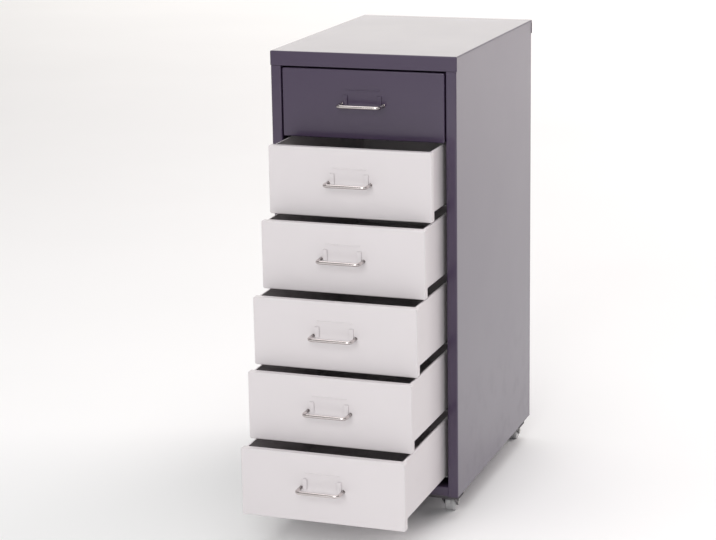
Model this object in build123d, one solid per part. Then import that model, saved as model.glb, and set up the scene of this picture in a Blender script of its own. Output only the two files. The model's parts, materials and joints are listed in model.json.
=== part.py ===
from build123d import *
import os

# Narrow six-drawer cabinet in folded sheet steel, on four small swivel casters.
#
# Millimetres, +Z up, the drawers open towards -Y. The origin lies on the floor, under the
# middle of the box that holds the cabinet with its drawers standing open as shown.
# Every piece is drawn with y = 0 on the casing's front plane and moved to the origin last.

# ---------------------------------------------------------------- driving dimensions
# casing
case_width = 280.0          # over the lid
case_depth = 410.0          # over the lid's front and back lips
total_height = 690.0        # floor to the top of the lid
floor_gap = 39.0            # floor to the lower edge of the casing
case_sheet = 0.8            # casing sheet
case_bend = 1.8             # outer radius of the casing's folds
lid_lip = 21.0              # height of the lid's front and back lips
lid_hem = 4.0               # height of the lid's narrow hem along each side
lid_corner = 3.0            # length of the lip's turn round each corner
seam_gap = 0.5              # open seam between the lid's lip and the side panel
back_setback = 2.0          # casing's back behind the lid's back lip
flange_width = 15.5         # front return flange of a side panel
flange_hem = 10.0           # hem folded inwards along the flange
rear_flange = 13.0          # rear return flange of a side panel
rail_height = 14.8          # front cross rail under the lowest drawer
rail_return = 14.0          # rail's top and bottom returns
rail_notch_gap = 1.0        # flange hem ends this far above the rail
pan_wall = 10.0             # upturned walls of the bottom pan
pan_notch_gap = 0.6         # pan behind the side panels' front hems
back_margin = 0.6           # back panel's clearance inside the pan and the lid
back_fold = 9.0             # back panel's top and bottom folds

# back panel screws
screw_shank = 3.4
screw_head = 7.0
screw_head_height = 1.7
screw_length = 7.0
screw_hole_gap = 0.1        # radial
screw_rows = 3
screw_end_margin = 60.0     # first and last screw from the casing's lower and upper edge

# drawers
drawer_count = 6
drawer_gap = 2.8            # visible gap above every drawer front
side_gap = 1.9              # gap on each side of a drawer front
bottom_gap = 2.0            # gap under the lowest front
front_depth = 10.0          # folded returns of the front
front_sheet = 0.8
front_edge = 1.8            # outer radius of the front's folded edges
front_corner = 2.6          # radius of the front's corners
tray_sheet = 0.7
tray_bend = 1.9
tray_inset = 3.7            # tray's sides inside the side edges of the front
tray_rise = 11.0            # tray's underside above the lower edge of the front
tray_clearance = 11.4       # closed tray's back from the back panel
tray_hem = 3.2              # hem folded inwards along the tray's upper edges
tray_flange = 8.0           # tray's tongue and side tabs, folded against the front
tray_flange_margin = 12.0   # tongue's ends from the tray's sides
back_drop = 8.0             # drawer back below the top of the front
back_return = 10.0          # drawer back's side returns
drawer_open = (0.0, 60.5, 94.7, 132.9, 159.9, 194.0)    # as shown, top drawer first
drawer_travel = 300.0       # closed to the stop

# runners
runner_sheet = 1.0
runner_bend = 1.6
runner_gap = 0.3            # tray's underside above the runner
runner_lap = 11.0           # runner's shelf under the tray's floor
runner_start = 11.0         # front end, behind the side panel's hem
runner_tail = 5.0           # runner behind the closed tray's back
guide_width = 14.4          # upper flange over the lug
lug_height = 9.0            # lug above the tray's underside
lug_reach = 15.9            # lug out from the tray's side
lug_length = 18.0
lug_inset = 2.0             # lug from the tray's back
lug_gap = 1.2               # lug under the runner's upper flange
stop_gap = 0.5              # lug from a stop at the end of its travel
stop_drop = 6.0
stop_width = 10.0

# wire pulls and label holders, measured down from the top of a front
pull_wire = 5.0
pull_span = 63.0            # between the legs' centres
pull_reach = 24.5           # front face to the outer side of the bar
pull_drop = 49.7
pull_bend = 6.0
pull_tail = 4.0             # leg end behind the front's face
pull_hole_gap = 0.1         # radial
pull_collar = 9.0
pull_collar_height = 1.0
holder_top = 36.0
holder_bottom = 51.5
holder_inner = 22.3         # inner edge of a bridge from the middle
holder_outer = 28.8
holder_rise = 2.0           # bridge proud of the front
holder_slot = 1.2           # card slot behind a bridge
bead_drop = 28.3            # pressed line over the card
bead_height = 1.6
bead_rise = 0.8
bead_length = 52.0
pressed_edge = 0.8          # radius of a pressed form's edges, as a share of its height

# caster bars and casters
bar_sheet = 1.5
bar_bend = 2.6
bar_width = 30.0
bar_inset = 16.0            # bar's outer face from the casing's front or back plane
bar_length = 268.0
bar_under = 10.0            # bar below the casing
stem_inset = 19.0           # stems from the bar's ends
stem_diameter = 8.0
stem_gap = 0.05             # radial running fit in the bar
stem_head = 13.0
stem_head_height = 1.6
swivel_gap = 0.3            # above and below the bar's web
fork_sheet = 1.5
crown_diameter = 24.0
wheel_diameter = 26.0
wheel_width = 16.0
wheel_side_gap = 0.7
wheel_chamfer = 2.0         # both edges of the tread
wheel_dish = 1.6            # depth of the recess in each face
wheel_hub = 12.0
wheel_rim = 4.0             # rim outside the recess
wheel_trail = 20.0          # axle behind the stem
axle_diameter = 5.0
axle_gap = 0.05             # radial
axle_head = 8.0
axle_head_height = 1.2
fork_boss = 10.0            # width of a fork leg round the axle
fork_front = 7.2            # leg's front edge at the crown, before the stem
fork_back = 10.1            # leg's rear edge at the crown, behind the stem
heading = {                 # degrees that each caster has swung from straight back
    "front_left": 10.0,
    "front_right": 3.0,
    "rear_left": -8.0,
    "rear_right": 2.0,
}

# ---------------------------------------------------------------- derived places
lid_top = total_height
lid_under = lid_top - case_sheet
side_top = lid_top - case_bend                  # side panels end under the lid's bends
lip_bottom = lid_top - lid_lip
case_side = case_width / 2 - case_sheet         # outer face of a side panel
wall = case_side - case_sheet                   # its inner face
flange_edge = case_side - flange_width          # edge of the drawer opening
rear_plane = case_depth - back_setback          # outer face of the rear flanges
pan_under = floor_gap + case_sheet
back_face = rear_plane - 2 * case_sheet         # inner face of the back panel
front_half = flange_edge - side_gap             # half width of a drawer front
tray_half = front_half - tray_inset             # outer face of a tray's side
tray_length = back_face - tray_clearance        # closed front plane to the tray's back
opening_height = lip_bottom - floor_gap - rail_height
pitch = (opening_height - bottom_gap) / drawer_count
front_height = pitch - drawer_gap
lug_front = tray_length - lug_inset - lug_length
bar_bottom = floor_gap - bar_under
stem_side = bar_length / 2 - stem_inset         # stems from the middle plane
crown_top = bar_bottom - swivel_gap
axle_height = wheel_diameter / 2
leg_inner = wheel_width / 2 + wheel_side_gap
bar_middles = {
    "front": bar_inset + bar_width / 2,
    "rear": rear_plane - bar_inset - bar_width / 2,
}
front_reach = drawer_open[-1] + pull_reach
origin_shift = (front_reach - case_depth) / 2   # casing's front plane in the final frame


def front_top(number):
    """Height of the top of drawer front 1 (top) to 6."""
    return lip_bottom - drawer_gap - (number - 1) * pitch


def tray_under(number):
    """Height of the underside of a drawer's tray."""
    return front_top(number) - front_height + tray_rise


def block(x, y, z):
    """A box from its (low, high) limits along each axis."""
    solid = Box(x[1] - x[0], y[1] - y[0], z[1] - z[0])
    return Pos((x[0] + x[1]) / 2, (y[0] + y[1]) / 2, (z[0] + z[1]) / 2) * solid


def folded(path, sheet, bend):
    """Cross-section of a folded sheet: a path along its outer face, metal on the left of it."""
    with BuildSketch() as section:
        with BuildLine():
            FilletPolyline(*path, radius=bend)
            offset(amount=sheet, side=Side.LEFT)
        make_face()
    return section.sketch


def folded_upright(path, sheet, bend, low, high):
    """A folded sheet whose section is seen from above, between two heights."""
    return Pos(0, 0, low) * extrude(folded(path, sheet, bend), high - low)


def folded_along_y(path, sheet, bend, start, end):
    """A folded sheet whose section (x, z) runs from front to back."""
    section = Plane.XZ * folded(path, sheet, bend)
    return Pos(0, start, 0) * extrude(section, -(end - start))


def folded_along_x(path, sheet, bend, half):
    """A folded sheet whose section (y, z) runs across the cabinet."""
    section = Plane.YZ * folded(path, sheet, bend)
    return extrude(section, half, both=True)


def rod(start, axis, diameter, length):
    """A round bar from its start point along an axis."""
    return extrude(Plane(origin=start, z_dir=axis) * Circle(diameter / 2), length)


def mirrored(solid):
    """The same piece for the other side of the cabinet."""
    return mirror(solid, about=Plane.YZ)


# ---------------------------------------------------------------- casing
def screw_heights():
    """Heights of the screws that hold the back panel."""
    low = floor_gap + screw_end_margin
    step = (lip_bottom - screw_end_margin - low) / (screw_rows - 1)
    return [low + step * row for row in range(screw_rows)]


def screw_places():
    """Points on the rear flanges' outer faces where the screws go in."""
    x = case_side - rear_flange / 2
    return [(side * x, rear_plane, z) for side in (-1, 1) for z in screw_heights()]


def screw_holes():
    """Clearance holes for the back panel's screws."""
    size = screw_shank + 2 * screw_hole_gap
    return [rod((x, y + 1, z), (0, -1, 0), size, screw_length + 1) for x, y, z in screw_places()]


def side_panel():
    """Right side panel: one sheet with a hemmed front flange and a rear flange."""
    path = [
        (flange_edge, flange_hem),
        (flange_edge, 0),
        (case_side, 0),
        (case_side, rear_plane),
        (case_side - rear_flange, rear_plane),
    ]
    panel = folded_upright(path, case_sheet, case_bend, floor_gap, side_top)
    seam = lip_bottom - seam_gap
    behind_lip = case_sheet + case_bend
    panel -= block((flange_edge - 1, case_side + 1), (-1, behind_lip), (seam, lid_top))
    panel -= block((flange_edge - 1, wall - 1), (-1, flange_hem + 1), (seam, lid_top))
    notch_top = floor_gap + rail_height + rail_notch_gap
    notch_x = (flange_edge - 1, flange_edge + case_bend)
    panel -= block(notch_x, (case_sheet, flange_hem + 1), (floor_gap - 1, notch_top))
    return panel - screw_holes()


def top_cover():
    """Lid: a shallow cap with full lips in front and behind and a narrow hem along the sides."""
    cap = block((-case_width / 2, case_width / 2), (0, case_depth), (lip_bottom, lid_top))
    rims = cap.edges().filter_by(Axis.Z) + cap.edges().group_by(Axis.Z)[-1]
    cap = fillet(rims, case_bend)
    cap = offset(cap, amount=-case_sheet, openings=cap.faces().sort_by(Axis.Z)[0])
    along = (lid_corner, case_depth - lid_corner)
    cap -= block((-case_width, case_width), along, (lip_bottom - 1, lid_top - lid_hem))
    return cap


def back_panel():
    """Back: a flat sheet behind the rear flanges, folded forwards at its top and bottom."""
    face = rear_plane - case_sheet
    low = pan_under + case_sheet + back_margin
    high = lid_under - back_margin
    path = [(face - back_fold, low), (face, low), (face, high), (face - back_fold, high)]
    half = wall - case_sheet - back_margin
    return folded_along_x(path, case_sheet, case_bend, half) - screw_holes()


def back_panel_screws():
    """Pan-head screws through the rear flanges and the back panel, one solid each."""
    screws = []
    for x, y, z in screw_places():
        head = rod((x, y, z), (0, 1, 0), screw_head, screw_head_height)
        screws.append(head + rod((x, y, z), (0, -1, 0), screw_shank, screw_length))
    return Compound(children=screws)


def bottom_pan():
    """Floor of the casing: a pan with low walls at its front and sides, behind the hems."""
    start = flange_hem + pan_notch_gap
    end = rear_plane - case_sheet - case_bend
    top = pan_under + pan_wall
    pan = block((-wall, wall), (start, end), (pan_under, top))
    pan = offset(pan, amount=-case_sheet, openings=pan.faces().sort_by(Axis.Z)[-1])
    return pan - block((-wall, wall), (end - case_sheet, end), (pan_under + case_sheet, top))


def front_rail():
    """Cross rail under the lowest drawer: a channel behind the flanges, open to the back."""
    face = case_sheet
    back = face + rail_return
    top = floor_gap + rail_height
    path = [(back, top), (face, top), (face, floor_gap), (back, floor_gap)]
    return folded_along_x(path, case_sheet, case_bend, wall - case_bend)


def runner(number):
    """Right runner of one drawer: a channel on the side panel with a stop at each end.

    The tray slides on the long lower shelf, and the lug on its side runs under the upper
    flange, which keeps the open drawer from tipping.
    """
    shelf = tray_under(number) - runner_gap - runner_sheet
    guide = tray_under(number) + lug_height + tray_sheet + lug_gap + runner_sheet
    path = [
        (tray_half - runner_lap, shelf),
        (wall, shelf),
        (wall, guide),
        (wall - guide_width, guide),
    ]
    end = tray_length + runner_tail
    channel = folded_along_y(path, runner_sheet, runner_bend, runner_start, end)
    stop_x = (wall - guide_width, wall - guide_width + stop_width)
    stop_z = (guide - stop_drop, guide - runner_sheet / 2)
    open_stop = lug_front - drawer_travel - stop_gap
    closed_stop = lug_front + lug_length + stop_gap
    channel += block(stop_x, (open_stop - runner_sheet, open_stop), stop_z)
    channel += block(stop_x, (closed_stop, closed_stop + runner_sheet), stop_z)
    return channel


# ---------------------------------------------------------------- drawers, drawn closed
def drawer_front(number):
    """Box-folded front with its pressed label holder and the two holes of the pull."""
    top = front_top(number)
    front = block((-front_half, front_half), (0, front_depth), (top - front_height, top))
    front = fillet(front.edges().filter_by(Axis.Y), front_corner)
    front = fillet(front.edges().group_by(Axis.Y)[0], front_edge)
    inner_x = (front_sheet - front_half, front_half - front_sheet)
    inner_z = (top - front_height + front_sheet, top - front_sheet)
    inside = block(inner_x, (front_sheet, front_depth + 1), inner_z)
    front -= fillet(inside.edges().filter_by(Axis.Y), front_corner - front_sheet)
    for side in (-1, 1):
        front += holder_bridge(side, top)
        leg = (side * pull_span / 2, -1, top - pull_drop)
        front -= rod(leg, (0, 1, 0), pull_wire + 2 * pull_hole_gap, front_sheet + 2)
    bead_z = (top - bead_drop - bead_height / 2, top - bead_drop + bead_height / 2)
    bead = block((-bead_length / 2, bead_length / 2), (-bead_rise, front_sheet / 2), bead_z)
    return front + fillet(bead.edges().group_by(Axis.Y)[0], bead_rise * pressed_edge)


def holder_bridge(side, top):
    """One pressed bridge of the label holder, open towards the card."""
    x = sorted((side * holder_inner, side * holder_outer))
    z = (top - holder_bottom, top - holder_top)
    leg = holder_rise - holder_slot
    bridge = block(x, (-holder_rise, front_sheet / 2), z)
    bridge = fillet(bridge.edges().group_by(Axis.Y)[0], leg * pressed_edge)
    slot_x = sorted((side * (holder_inner - 1), side * (holder_outer - leg)))
    return bridge - block(slot_x, (-holder_slot, 0), (z[0] + leg, z[1] + 1))


def drawer_tray(number):
    """Floor and sides from one sheet, with hems, the front's tongue and tabs, and rear lugs."""
    low = tray_under(number)
    high = front_top(number) - front_sheet
    path = [
        (-tray_half + tray_hem, high),
        (-tray_half, high),
        (-tray_half, low),
        (tray_half, low),
        (tray_half, high),
        (tray_half - tray_hem, high),
    ]
    tray = folded_along_y(path, tray_sheet, tray_bend, front_sheet, tray_length)
    half = tray_half - tray_flange_margin
    welded_y = (front_sheet, front_sheet + tray_sheet)
    tray += block((-half, half), welded_y, (low - tray_flange, low + tray_sheet))
    tab_z = (low + tray_bend, high - tray_bend)
    lug_z = (low + lug_height, low + lug_height + tray_sheet)
    for side in (-1, 1):
        tab_x = sorted((side * (tray_half - tray_flange), side * (tray_half - tray_sheet / 2)))
        tray += block(tab_x, welded_y, tab_z)
        lug_x = sorted((side * (tray_half - tray_sheet / 2), side * (tray_half + lug_reach)))
        tray += block(lug_x, (lug_front, lug_front + lug_length), lug_z)
    return tray


def drawer_back(number):
    """Back of a drawer: a sheet with a return against each side of the tray."""
    half = tray_half - tray_sheet
    path = [
        (half, tray_length - back_return),
        (half, tray_length),
        (-half, tray_length),
        (-half, tray_length - back_return),
    ]
    low = tray_under(number) + tray_sheet
    panel = folded_upright(path, tray_sheet, tray_bend, low, front_top(number) - back_drop)
    corners = tray_bend - tray_sheet
    for side in (-1, 1):
        x = sorted((side * (half - corners), side * (half + 1)))
        panel -= block(x, (0, case_depth), (low - 1, low + corners))
    return panel


def drawer_handle(number):
    """Bright wire pull: a bar on two legs, each held by a pressed collar behind the front."""
    z = front_top(number) - pull_drop
    bar_y = pull_wire / 2 - pull_reach
    half = pull_span / 2
    corners = [(-half, pull_tail, z), (-half, bar_y, z), (half, bar_y, z), (half, pull_tail, z)]
    with BuildLine() as route:
        FilletPolyline(*corners, radius=pull_bend)
    start = Plane(origin=(-half, pull_tail, z), z_dir=(0, -1, 0))
    pull = sweep(start * Circle(pull_wire / 2), path=route.wires()[0])
    for side in (-1, 1):
        pull += rod((side * half, front_sheet, z), (0, 1, 0), pull_collar, pull_collar_height)
    return pull


# ---------------------------------------------------------------- caster bars and casters
def caster_bar(end):
    """Channel across the underside, open upwards, with a bearing hole for each caster."""
    middle = bar_middles[end]
    near = middle - bar_width / 2
    far = middle + bar_width / 2
    path = [(near, pan_under), (near, bar_bottom), (far, bar_bottom), (far, pan_under)]
    bar = folded_along_x(path, bar_sheet, bar_bend, bar_length / 2)
    for side in (-1, 1):
        hole = stem_diameter + 2 * stem_gap
        bar -= rod((side * stem_side, middle, bar_bottom - 1), (0, 0, 1), hole, bar_sheet + 2)
    return bar


def fork():
    """Caster fork about its stem: crown, two raked legs, and the stem with its riveted head."""
    with BuildSketch(Plane.YZ) as leg:
        with BuildLine():
            Line((-fork_front, crown_top), (fork_back, crown_top))
            CenterArc((wheel_trail, axle_height), fork_boss / 2, 0, 360)
        make_hull()
        with Locations((wheel_trail, axle_height)):
            Circle(axle_diameter / 2 + axle_gap, mode=Mode.SUBTRACT)
    solid = rod((0, 0, crown_top - fork_sheet), (0, 0, 1), crown_diameter, fork_sheet)
    for side in (-1, 1):
        inner = Pos(side * leg_inner, 0, 0) * leg.sketch
        solid += extrude(inner, side * fork_sheet)
    wide = leg_inner + fork_sheet
    crown_z = (crown_top - fork_sheet, crown_top)
    solid += block((-wide, wide), (-fork_front, fork_back), crown_z)
    web_top = bar_bottom + bar_sheet
    stem_top = web_top + swivel_gap
    solid += rod((0, 0, crown_top), (0, 0, 1), stem_diameter, stem_top - crown_top)
    solid += rod((0, 0, stem_top), (0, 0, 1), stem_head, stem_head_height)
    return solid


def wheel():
    """Caster wheel about its stem's axis: chamfered tread, recessed faces, bored hub."""
    half = wheel_width / 2
    rim = wheel_diameter / 2
    bore = axle_diameter / 2 + axle_gap
    with BuildSketch(Plane.XY) as section:
        with BuildLine():
            Polyline(
                (0, bore),
                (half, bore),
                (half, wheel_hub / 2),
                (half - wheel_dish, wheel_hub / 2),
                (half - wheel_dish, rim - wheel_rim),
                (half, rim - wheel_rim),
                (half, rim - wheel_chamfer),
                (half - wheel_chamfer, rim),
                (0, rim),
                close=True,
            )
        make_face()
        mirror(about=Plane.YZ)
    solid = revolve(section.sketch, Axis.X)
    return Pos(0, wheel_trail, axle_height) * solid


def axle():
    """Riveted wheel axle with a head outside each fork leg."""
    end = leg_inner + fork_sheet
    centre = (0, wheel_trail, axle_height)
    solid = Pos(*centre) * Rot(0, 90, 0) * Cylinder(axle_diameter / 2, 2 * end)
    for side in (-1, 1):
        start = (side * end, wheel_trail, axle_height)
        solid += rod(start, (side, 0, 0), axle_head, axle_head_height)
    return solid


def caster_place(end, side_name):
    """Where a caster's stem stands, and how far the caster has swung."""
    side = -1 if side_name == "left" else 1
    turn = Rot(0, 0, heading[end + "_" + side_name])
    return Pos(side * stem_side, bar_middles[end], 0) * turn


# ---------------------------------------------------------------- the assembly
def all_pieces():
    """Every named piece in the casing's own coordinates, the drawers standing open."""
    right = side_panel()
    pieces = {
        "side_panel_right": right,
        "side_panel_left": mirrored(right),
        "top_cover": top_cover(),
        "back_panel": back_panel(),
        "back_panel_screws": back_panel_screws(),
        "bottom_pan": bottom_pan(),
        "front_rail": front_rail(),
        "caster_bar_front": caster_bar("front"),
        "caster_bar_rear": caster_bar("rear"),
    }
    for number in range(1, drawer_count + 1):
        right_runner = runner(number)
        pieces[f"runner_{number}_right"] = right_runner
        pieces[f"runner_{number}_left"] = mirrored(right_runner)
        out = Pos(0, -drawer_open[number - 1], 0)
        pieces[f"drawer_{number}_front"] = out * drawer_front(number)
        pieces[f"drawer_{number}_tray"] = out * drawer_tray(number)
        pieces[f"drawer_{number}_back"] = out * drawer_back(number)
        pieces[f"drawer_{number}_handle"] = out * drawer_handle(number)
    for end in bar_middles:
        for side_name in ("left", "right"):
            place = caster_place(end, side_name)
            name = f"caster_{end}_{side_name}"
            pieces[name + "_fork"] = place * fork()
            pieces[name + "_wheel"] = place * wheel()
            pieces[name + "_axle"] = place * axle()
    return pieces


def write_parts():
    """Move every piece to the final frame and write its STEP file."""
    os.makedirs("parts", exist_ok=True)
    for name, solid in all_pieces().items():
        export_step(Pos(0, origin_shift, 0) * solid, f"parts/{name}.step")


write_parts()
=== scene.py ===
import json
import math

import bmesh
import bpy
import numpy as np
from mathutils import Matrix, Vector


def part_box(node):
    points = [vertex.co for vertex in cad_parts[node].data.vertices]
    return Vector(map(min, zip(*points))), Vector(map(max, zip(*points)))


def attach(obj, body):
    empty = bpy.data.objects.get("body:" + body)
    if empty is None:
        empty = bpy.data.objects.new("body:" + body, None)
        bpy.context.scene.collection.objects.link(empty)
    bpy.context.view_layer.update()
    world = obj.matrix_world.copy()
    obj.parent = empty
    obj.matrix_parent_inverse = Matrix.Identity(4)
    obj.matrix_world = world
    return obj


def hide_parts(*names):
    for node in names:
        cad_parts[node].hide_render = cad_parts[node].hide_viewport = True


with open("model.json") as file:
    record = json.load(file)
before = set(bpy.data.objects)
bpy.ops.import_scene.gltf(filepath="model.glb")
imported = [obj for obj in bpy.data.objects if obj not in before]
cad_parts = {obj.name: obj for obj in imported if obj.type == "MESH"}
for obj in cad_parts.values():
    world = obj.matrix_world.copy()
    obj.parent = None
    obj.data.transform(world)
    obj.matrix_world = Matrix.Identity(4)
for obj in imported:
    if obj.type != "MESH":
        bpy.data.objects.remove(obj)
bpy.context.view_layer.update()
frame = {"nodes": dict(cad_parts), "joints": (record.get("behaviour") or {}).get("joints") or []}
nodes = frame["nodes"]
joints = {joint["name"]: joint for joint in frame["joints"]}


# ---------------------------------------------------------------- camera
# A long lens at about chest height, a little to the right of the drawers, level but for
# a slight roll. Distances are metres in the cabinet's own frame.
camera = bpy.data.objects.new("camera", bpy.data.cameras.new("camera"))
camera.data.sensor_width = 36.0
camera.data.lens = 104.967
camera.data.clip_end = 60.0
camera.location = (0.978744, -2.862206, 1.118281)
camera.rotation_euler = [math.radians(turn) for turn in (75.7805, 0.9252, 19.4487)]
bpy.context.scene.collection.objects.link(camera)
bpy.context.scene.camera = camera
bpy.context.scene.view_settings.view_transform = "Standard"


# ---------------------------------------------------------------- room
# A plain white floor that curves up into a wall well behind the cabinet. A white sky and
# four large soft lamps light it as a product table is lit: from above, from the front, and
# from behind, where the gloss of the lid and of the right side picks them up.
floor_reach = 9.0
wall_start = 11.0
wall_curve = 3.0
wall_top = 8.0
sky_strength = 0.36
warm_white = (1.0, 0.965, 0.92)
rose_white = (1.0, 0.93, 0.93)


def surface(name, grids, around=False, closed=False):
    """One mesh from grids of points, each indexed by its two parameters.

    Every cell between neighbouring rows and columns is a face. Around joins the last column
    to the first; closed also shuts the first and last row, each by a fan about its mean.
    """
    corners = []
    faces = []
    count = 0
    for grid in grids:
        rows, columns = grid.shape[:2]
        index = np.arange(rows * columns).reshape(rows, columns) + count
        left = index if around else index[:, :-1]
        right = np.roll(index, -1, axis=1) if around else index[:, 1:]
        cells = np.stack([left[:-1], right[:-1], right[1:], left[1:]], axis=-1)
        faces += cells.reshape(-1, 4).tolist()
        corners.append(grid.reshape(-1, 3))
        count += rows * columns
        if closed:
            for row, points in ((0, grid[0]), (-1, grid[-1])):
                hub = np.full(columns, count)
                fan = np.stack([index[row], np.roll(index[row], -1), hub], axis=-1)
                faces += fan.tolist()
                corners.append(points.mean(axis=0)[None])
                count += 1
    mesh = bpy.data.meshes.new(name)
    mesh.from_pydata(np.concatenate(corners).tolist(), [], faces)
    piece = bpy.data.objects.new(name, mesh)
    bpy.context.scene.collection.objects.link(piece)
    if closed:
        outward(mesh)
    mesh.polygons.foreach_set("use_smooth", np.ones(len(mesh.polygons), bool))
    return piece


def outward(mesh):
    """Joins a closed mesh's doubled seam and turns every face to look away from its inside."""
    shell = bmesh.new()
    shell.from_mesh(mesh)
    bmesh.ops.remove_doubles(shell, verts=shell.verts, dist=1e-6)
    bmesh.ops.recalc_face_normals(shell, faces=shell.faces)
    shell.to_mesh(mesh)
    shell.free()


def room_points():
    """Along by across: level to the wall's foot, a quarter circle upwards, then upright."""
    level = np.linspace(-floor_reach, wall_start, 12)
    turn = np.linspace(0.0, math.pi / 2, 24)[1:]
    rise = np.linspace(wall_curve, wall_top, 4)[1:]
    wall = np.full(rise.size, wall_start + wall_curve)
    y = np.concatenate([level, wall_start + wall_curve * np.sin(turn), wall])
    z = np.concatenate([0 * level, wall_curve * (1 - np.cos(turn)), rise])
    across, line = np.meshgrid(np.linspace(-floor_reach, floor_reach, 8), np.arange(y.size))
    return np.stack([across, y[line], z[line]], axis=-1)


room = surface("room", [room_points()])


class Tone:
    """A socket of a material's nodes; arithmetic on it adds the nodes that work it out."""

    def __init__(self, tree, socket):
        self.tree = tree
        self.socket = socket

    def node(self, kind, feeds, output=0, **settings):
        """Any node: its settings, then the values or links of its sockets."""
        made = self.tree.nodes.new(kind)
        for name, value in settings.items():
            setattr(made, name, value)
        for name, value in feeds.items():
            if isinstance(value, Tone):
                self.tree.links.new(value.socket, made.inputs[name])
            else:
                made.inputs[name].default_value = value
        return Tone(self.tree, made.outputs[output])

    def maths(self, operation, first, second):
        return self.node("ShaderNodeMath", {0: first, 1: second}, operation=operation)

    def __add__(self, other):
        return self.maths("ADD", self, other)

    def __mul__(self, other):
        return self.maths("MULTIPLY", self, other)

    __radd__ = __add__
    __rmul__ = __mul__

    def along(self, axis):
        """One coordinate of a place."""
        return self.node("ShaderNodeSeparateXYZ", {"Vector": self}, output=axis)

    def stretched(self, x, y, z):
        """A place with its coordinates scaled, which draws a pattern out."""
        return self.node("ShaderNodeVectorMath", {0: self, 1: (x, y, z)}, operation="MULTIPLY")

    def noise(self, scale, detail=2.0):
        """Cloudy noise about this place, scale being patches in a metre."""
        return self.node("ShaderNodeTexNoise", {"Vector": self, "Scale": scale, "Detail": detail})

    def between(self, low, high):
        """0 below low and 1 above high, with a smooth step in between."""
        feeds = {"Value": self, "From Min": low, "From Max": high}
        return self.node("ShaderNodeMapRange", feeds, interpolation_type="SMOOTHSTEP")

    def blend(self, start, end):
        """The colour from start to end at this share."""
        return self.node("ShaderNodeMix", {0: self, 6: start, 7: end}, 2, data_type="RGBA")

    def bump(self, height, strength=1.0):
        """The normal of a surface that stands up by this share of a height."""
        feeds = {"Height": self, "Distance": height, "Strength": strength}
        return self.node("ShaderNodeBump", feeds)


class Finish:
    """A material and its shader, with the constants set on the shader's own sockets."""

    def __init__(self, name, **constants):
        self.material = bpy.data.materials.new(name)
        self.material.use_nodes = True
        self.tree = self.material.node_tree
        self.shader = self.tree.nodes["Principled BSDF"]
        for socket, value in constants.items():
            self.shader.inputs[socket.replace("_", " ")].default_value = value

    def place(self):
        """The point of the surface in the cabinet's frame, in metres."""
        coordinates = self.tree.nodes.new("ShaderNodeTexCoord")
        return Tone(self.tree, coordinates.outputs["Object"])

    def vary(self, **tones):
        """Links what changes over the surface to the shader."""
        for socket, tone in tones.items():
            self.tree.links.new(tone.socket, self.shader.inputs[socket.replace("_", " ")])

    def cover(self, piece):
        """Puts the finish on a piece or a CAD node."""
        if not piece.material_slots:
            piece.data.materials.append(self.material)
        for slot in piece.material_slots:
            slot.material = self.material


white_table = Finish("white_table", Roughness=0.75, Specular_IOR_Level=0.2)
mottle = white_table.place().noise(1.5)
white_table.vary(Base_Color=mottle.blend((0.90, 0.90, 0.90, 1), (0.94, 0.94, 0.94, 1)))
white_table.cover(room)

world = bpy.data.worlds.new("sky")
world.use_nodes = True
world.node_tree.nodes["Background"].inputs["Color"].default_value = (1.0, 1.0, 1.0, 1.0)
world.node_tree.nodes["Background"].inputs["Strength"].default_value = sky_strength
bpy.context.scene.world = world


def softbox(name, place, target, size, power, tint=(1.0, 1.0, 1.0)):
    """A square soft lamp at a place, facing its target."""
    lamp = bpy.data.lights.new(name, "AREA")
    lamp.color = tint
    lamp.shape = "SQUARE"
    lamp.size = size
    lamp.energy = power
    stand = bpy.data.objects.new(name, lamp)
    stand.location = place
    aim = Vector(target) - Vector(place)
    stand.rotation_euler = aim.to_track_quat("-Z", "Y").to_euler()
    bpy.context.scene.collection.objects.link(stand)


softbox("overhead", (0.0, 0.0, 3.2), (0.0, 0.0, 0.3), 2.6, 34.0)
softbox("front", (0.2, -3.6, 1.8), (0.0, 0.0, 0.3), 2.2, 75.0)
softbox("back", (-1.6, 6.0, 3.2), (0.0, 0.0, 0.6), 6.0, 126.0, warm_white)
softbox("right", (3.8, 4.6, 3.2), (1.1, 3.0, 0.0), 5.0, 245.0, rose_white)


# ---------------------------------------------------------------- folded casing
# Side panels, lid, back, floor pan and front rail: 0.8 mm steel sheet, folded and spot
# welded, then powder coated in a dark purple-grey that mirrors its surroundings softly.
fold_angle = math.radians(32)
joined = 2e-6
cloud_scale = 7.0
scuff_scale = 30.0
scuff_height = 0.35
peel_scale = 650.0
peel_height = 0.00002
casing_dark = (0.044, 0.028, 0.060, 1)
casing_light = (0.050, 0.032, 0.068, 1)


def rolled_folds():
    """Modifier nodes: joins the loose triangles, then keeps only the steeper folds sharp."""
    group = bpy.data.node_groups.new("rolled_folds", "GeometryNodeTree")
    for way in ("INPUT", "OUTPUT"):
        group.interface.new_socket("Geometry", in_out=way, socket_type="NodeSocketGeometry")
    start = Tone(group, group.nodes.new("NodeGroupInput").outputs[0])
    merged = start.node("GeometryNodeMergeByDistance", {"Geometry": start, "Distance": joined})
    angle = start.node("GeometryNodeInputMeshEdgeAngle", {})
    fold = start.node("FunctionNodeCompare", {0: angle, 1: fold_angle},
                      data_type="FLOAT", operation="GREATER_THAN")
    feeds = {"Geometry": merged, "Shade Smooth": True}
    smooth = start.node("GeometryNodeSetShadeSmooth", feeds, domain="FACE")
    feeds = {"Geometry": smooth, "Selection": fold, "Shade Smooth": False}
    kept = start.node("GeometryNodeSetShadeSmooth", feeds, domain="EDGE")
    group.links.new(kept.socket, group.nodes.new("NodeGroupOutput").inputs[0])
    return group


bends = rolled_folds()


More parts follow.
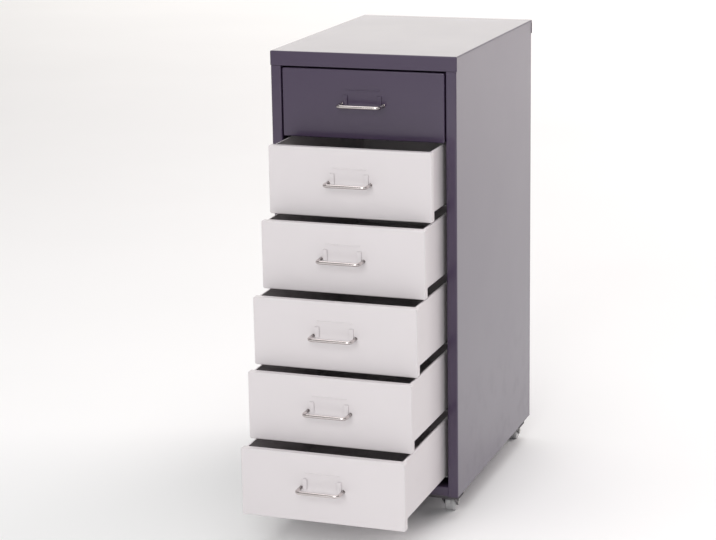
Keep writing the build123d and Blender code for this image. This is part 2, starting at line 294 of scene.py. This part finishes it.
def smooth_sheet(piece):
    """Shades a CAD node's folds round and leaves its flats flat."""
    rolled = piece.modifiers.new("rolled_folds", "NODES")
    rolled.node_group = bends
    flats = piece.modifiers.new("level_flats", "WEIGHTED_NORMAL")
    flats.keep_sharp = True


def powder_coat(name, dark, light, roughness, coat):
    """Powder coat: a fine orange peel, faint clouds of tone and gloss, and duller lower parts."""
    finish = Finish(name, Coat_Weight=coat, Coat_Roughness=0.12, Coat_IOR=1.45)
    place = finish.place()
    clouds = place.noise(cloud_scale, 3.0)
    peel = place.noise(peel_scale, 1.0)
    scuffs = place.noise(scuff_scale, 4.0).between(0.45, 0.75)
    handled = place.along("Z").between(scuff_height, 0.0) * scuffs
    finish.vary(Base_Color=clouds.blend(dark, light),
                Roughness=roughness + 0.06 * clouds + 0.05 * handled,
                Normal=peel.bump(peel_height, 0.35))
    return finish


casing_paint = powder_coat("casing_paint", casing_dark, casing_light, 0.27, 0.5)
for name in ("side_panel_left", "side_panel_right", "top_cover", "back_panel",
             "bottom_pan", "front_rail"):
    smooth_sheet(nodes[name])
    casing_paint.cover(nodes[name])


# ---------------------------------------------------------------- back panel screws
# Six pan-head screws with a cross recess, zinc plated, through the side panels' rear
# flanges into the back panel.
screw_head = 0.0070
screw_head_height = 0.0017
screw_shank = 0.0034
recess_arm = 0.0021
recess_half_width = 0.00045
recess_depth = 0.0010
recess_slope = 0.00015
recess_end = 0.0005
dome_drop = 0.45
zinc_dark = (0.52, 0.52, 0.50, 1)
zinc_light = (0.68, 0.68, 0.66, 1)


def screw_points(centre):
    """Polar grid about the screw's axis: over the domed head, under it and down the shank.

    The dome drops with the cube of the radius, and the recess is two crossed grooves whose
    depth falls off evenly at their sides and ends.
    """
    turn = np.linspace(0, 2 * math.pi, 48, endpoint=False)
    dome = np.linspace(0.02, 1.0, 22) * screw_head / 2
    radius = np.concatenate([dome, [screw_head / 2, screw_shank / 2, screw_shank / 2]])
    crown = screw_head_height * (1 - dome_drop * (dome / dome[-1]) ** 3)
    low = [0.0, 0.0, low_end - head_seat]
    height = np.concatenate([crown, low])
    x = radius[:, None] * np.cos(turn)
    z = radius[:, None] * np.sin(turn)
    narrow = np.minimum(abs(x), abs(z))
    reach = np.maximum(abs(x), abs(z))
    groove = np.clip((recess_half_width - narrow) / recess_slope + 1, 0, 1)
    groove *= np.clip((recess_arm - reach) / recess_end + 0.5, 0, 1)
    groove[dome.size:] = 0
    y = height[:, None] - recess_depth * groove
    return np.stack([centre[0] + x, head_seat + y, centre[1] + z], axis=-1)


low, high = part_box("back_panel_screws")
head_seat = high.y - screw_head_height
low_end = low.y
columns = (low.x + screw_head / 2, high.x - screw_head / 2)
rows = np.linspace(low.z + screw_head / 2, high.z - screw_head / 2, 3)
screws = surface("back_screws", [screw_points((x, z)) for x in columns for z in rows],
                 around=True, closed=True)
plated = Finish("plated_steel", Metallic=1.0)
grain = plated.place().noise(900.0, 3.0)
plated.vary(Base_Color=grain.blend(zinc_dark, zinc_light), Roughness=0.22 + 0.15 * grain)
plated.cover(screws)
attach(screws, "casing")
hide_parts("back_panel_screws")


# ---------------------------------------------------------------- runners
# Twelve channels of 1 mm galvanised sheet, spot welded to the side panels. The zinc has a
# faint spangle and fine streaks along the way the trays slide.
spangle_scale = 140.0
streaks_across = 400.0
streaks_along = 3.0
spangle_dark = (0.30, 0.30, 0.31, 1)
spangle_light = (0.42, 0.42, 0.43, 1)

runner_zinc = Finish("runner_zinc", Metallic=1.0)
place = runner_zinc.place()
spangle = place.node("ShaderNodeTexVoronoi", {"Vector": place, "Scale": spangle_scale}, 1)
rubbed = place.stretched(streaks_across, streaks_along, streaks_across).noise(1.0, 3.0)
patch = place.node("ShaderNodeSeparateColor", {"Color": spangle})
runner_zinc.vary(Base_Color=patch.blend(spangle_dark, spangle_light),
                 Roughness=0.34 + 0.12 * rubbed + 0.08 * patch)
for number in range(1, 7):
    for side in ("left", "right"):
        smooth_sheet(nodes[f"runner_{number}_{side}"])
        runner_zinc.cover(nodes[f"runner_{number}_{side}"])


# ---------------------------------------------------------------- drawers
# Each is a box-folded front with a pressed label holder, a one-sheet tray and a back. The
# top one is coated like the casing, the other five in a warm off-white.
drawer_dark = (0.640, 0.604, 0.615, 1)
drawer_light = (0.668, 0.630, 0.642, 1)

drawer_paint = powder_coat("drawer_paint", drawer_dark, drawer_light, 0.38, 0.2)
for number in range(1, 7):
    finish = casing_paint if number == 1 else drawer_paint
    for part in ("front", "tray", "back"):
        smooth_sheet(nodes[f"drawer_{number}_{part}"])
        finish.cover(nodes[f"drawer_{number}_{part}"])


# ---------------------------------------------------------------- wire pulls
# A 5 mm steel wire bent square, chromed, with both legs through the drawer's front and a
# pressed collar on each behind it. The film of handling dulls it in patches.
wire = 0.0050
bend = 0.0060
collar = 0.0090
collar_height = 0.0010
chrome_dark = (0.60, 0.545, 0.535, 1)
chrome_light = (0.70, 0.645, 0.635, 1)

chrome = Finish("chrome_wire", Metallic=1.0)
film = chrome.place().noise(160.0, 3.0)
chrome.vary(Base_Color=film.blend(chrome_dark, chrome_light), Roughness=0.10 + 0.08 * film)


def pull_points(low, high):
    """Along by around: circles of the wire's radius carried square to a bent line.

    The line runs straight out, turns through a quarter circle, crosses, turns again and
    runs back; its heading is level on the straights and rises evenly in the bends.
    """
    turn = np.linspace(0, math.pi / 2, 13)
    left = low.x + collar / 2
    right = -left
    front = low.y + wire / 2
    x = np.concatenate([[left], left + bend * (1 - np.cos(turn)),
                        right - bend * (1 - np.sin(turn)), [right]])
    y = np.concatenate([[high.y], front + bend * (1 - np.sin(turn)),
                        front + bend * (1 - np.cos(turn)), [high.y]])
    heading = np.concatenate([[0], turn, math.pi / 2 + turn, [math.pi]])
    around = np.linspace(0, 2 * math.pi, 24, endpoint=False)
    out = wire / 2 * np.cos(around)
    up = wire / 2 * np.sin(around)
    sideways = np.stack([-np.cos(heading), -np.sin(heading)], axis=-1)
    grid = np.empty((x.size, around.size, 3))
    grid[..., 0] = x[:, None] + sideways[:, :1] * out
    grid[..., 1] = y[:, None] + sideways[:, 1:] * out
    grid[..., 2] = (low.z + high.z) / 2 + up
    return grid


def collar_points(x, y, z):
    """Around the leg: a flat ring whose outer edge is rounded over, closed on the wire."""
    around = np.linspace(0, 2 * math.pi, 24, endpoint=False)
    inner = 0.98 * wire / 2
    outer = collar / 2
    radius = np.array([inner, outer, outer, 0.9 * outer, inner])
    depth = np.array([0.0, 0.0, 0.6, 1.0, 1.0]) * collar_height
    grid = np.empty((radius.size, around.size, 3))
    grid[..., 0] = x + radius[:, None] * np.cos(around)
    grid[..., 1] = y + depth[:, None]
    grid[..., 2] = z + radius[:, None] * np.sin(around)
    return grid


for number in range(1, 7):
    low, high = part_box(f"drawer_{number}_handle")
    front_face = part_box(f"drawer_{number}_tray")[0].y
    leg = low.x + collar / 2
    middle = (low.z + high.z) / 2
    grids = [pull_points(low, high)]
    grids += [collar_points(x, front_face, middle) for x in (leg, -leg)]
    pull = surface(f"drawer_{number}_pull", grids, around=True, closed=True)
    chrome.cover(pull)
    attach(pull, f"drawer_{number}")
    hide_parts(f"drawer_{number}_handle")


# ---------------------------------------------------------------- caster bars and forks
# Pressed steel: two channels across the underside, and under each end a fork on its riveted stem,
# all coated dark grey; on the forks that dark grey is painted shade, the shade under the casing,
# and not their own colour. The riveted axles are zinc plated.
bar_coat_and_fork_shade_dark = (0.050, 0.046, 0.052, 1)
bar_coat_and_fork_shade_light = (0.065, 0.060, 0.066, 1)

bar_coat_and_fork_shade = powder_coat("bar_coat_and_fork_shade", bar_coat_and_fork_shade_dark, bar_coat_and_fork_shade_light, 0.4, 0.2)
for end in ("front", "rear"):
    smooth_sheet(nodes[f"caster_bar_{end}"])
    bar_coat_and_fork_shade.cover(nodes[f"caster_bar_{end}"])
    for side in ("left", "right"):
        smooth_sheet(nodes[f"caster_{end}_{side}_fork"])
        # The forks take the bars' dark grey, which on them is painted shade from the casing
        # above.
        bar_coat_and_fork_shade.cover(nodes[f"caster_{end}_{side}_fork"])
        smooth_sheet(nodes[f"caster_{end}_{side}_axle"])
        plated.cover(nodes[f"caster_{end}_{side}_axle"])


# ---------------------------------------------------------------- caster wheels
# Moulded grey plastic, glossy, darker and duller in patches towards the floor: a rounded tread,
# dished faces with a raised hub, and a fine parting line round the middle.
wheel_radius = 0.0130
wheel_half = 0.0080
tread_round = 0.0028
dish = 0.0016
hub = 0.0060
bore = 0.00255
rim = 0.0090
parting_half_width = 0.0004
parting_floor = 0.00015
parting_depth = 0.00012
hub_lip = 0.0012
low_patch_height = 0.012
plastic = (0.46, 0.46, 0.465, 1)
low_patch_plastic = (0.30, 0.295, 0.29, 1)

wheel_grey = Finish("wheel_grey", Coat_Weight=0.6, Coat_Roughness=0.08)
place = wheel_grey.place()
flow = place.noise(120.0, 3.0)
# Patches that darken and dull the plastic, growing towards the floor in the wheel's lowest 12 mm.
low_patches = place.along("Z").between(low_patch_height, 0.0) * place.noise(420.0, 3.0)
wheel_grey.vary(Base_Color=(low_patches * 0.5).blend(plastic, low_patch_plastic),
                Roughness=0.24 + 0.12 * flow + 0.2 * low_patches,
                Normal=flow.bump(0.00003, 0.4))


def wheel_points(joint):
    """A closed profile turned about the axle: bore, hub, dish, rim and rounded tread."""
    corner = np.linspace(0, math.pi / 2, 9)
    soft = np.linspace(0, 1, 5)
    step = (1 - np.cos(math.pi * soft)) / 2
    half_x = np.concatenate([[wheel_half, wheel_half], wheel_half - dish * step,
                             wheel_half - dish * step[::-1],
                             wheel_half - tread_round * (1 - np.cos(corner)),
                             [parting_half_width, parting_floor]])
    half_r = np.concatenate([[bore, hub - hub_lip], hub + dish * (soft - 0.5),
                             rim - dish * (1.5 - soft),
                             wheel_radius - tread_round * (1 - np.sin(corner)),
                             [wheel_radius, wheel_radius - parting_depth]])
    x = np.concatenate([half_x, -half_x[::-1]])
    radius = np.concatenate([half_r, half_r[::-1]])
    around = np.linspace(0, 2 * math.pi, 72, endpoint=False)
    axis = np.array(joint["axis"])
    level = np.array([-axis[1], axis[0], 0.0])
    grid = np.array(joint["pos_m"]) + x[:, None, None] * axis
    grid = grid + (radius[:, None] * np.cos(around))[..., None] * level
    return grid + (radius[:, None] * np.sin(around))[..., None] * np.array([0.0, 0.0, 1.0])


for end in ("front", "rear"):
    for side in ("left", "right"):
        name = f"caster_{end}_{side}"
        grid = wheel_points(joints[f"{name}_roll"])
        looped = np.concatenate([grid, grid[:1]])
        tyre = surface(f"{name}_tyre", [looped], around=True)
        outward(tyre.data)
        wheel_grey.cover(tyre)
        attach(tyre, f"{name}_roller")
        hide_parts(f"{name}_wheel")
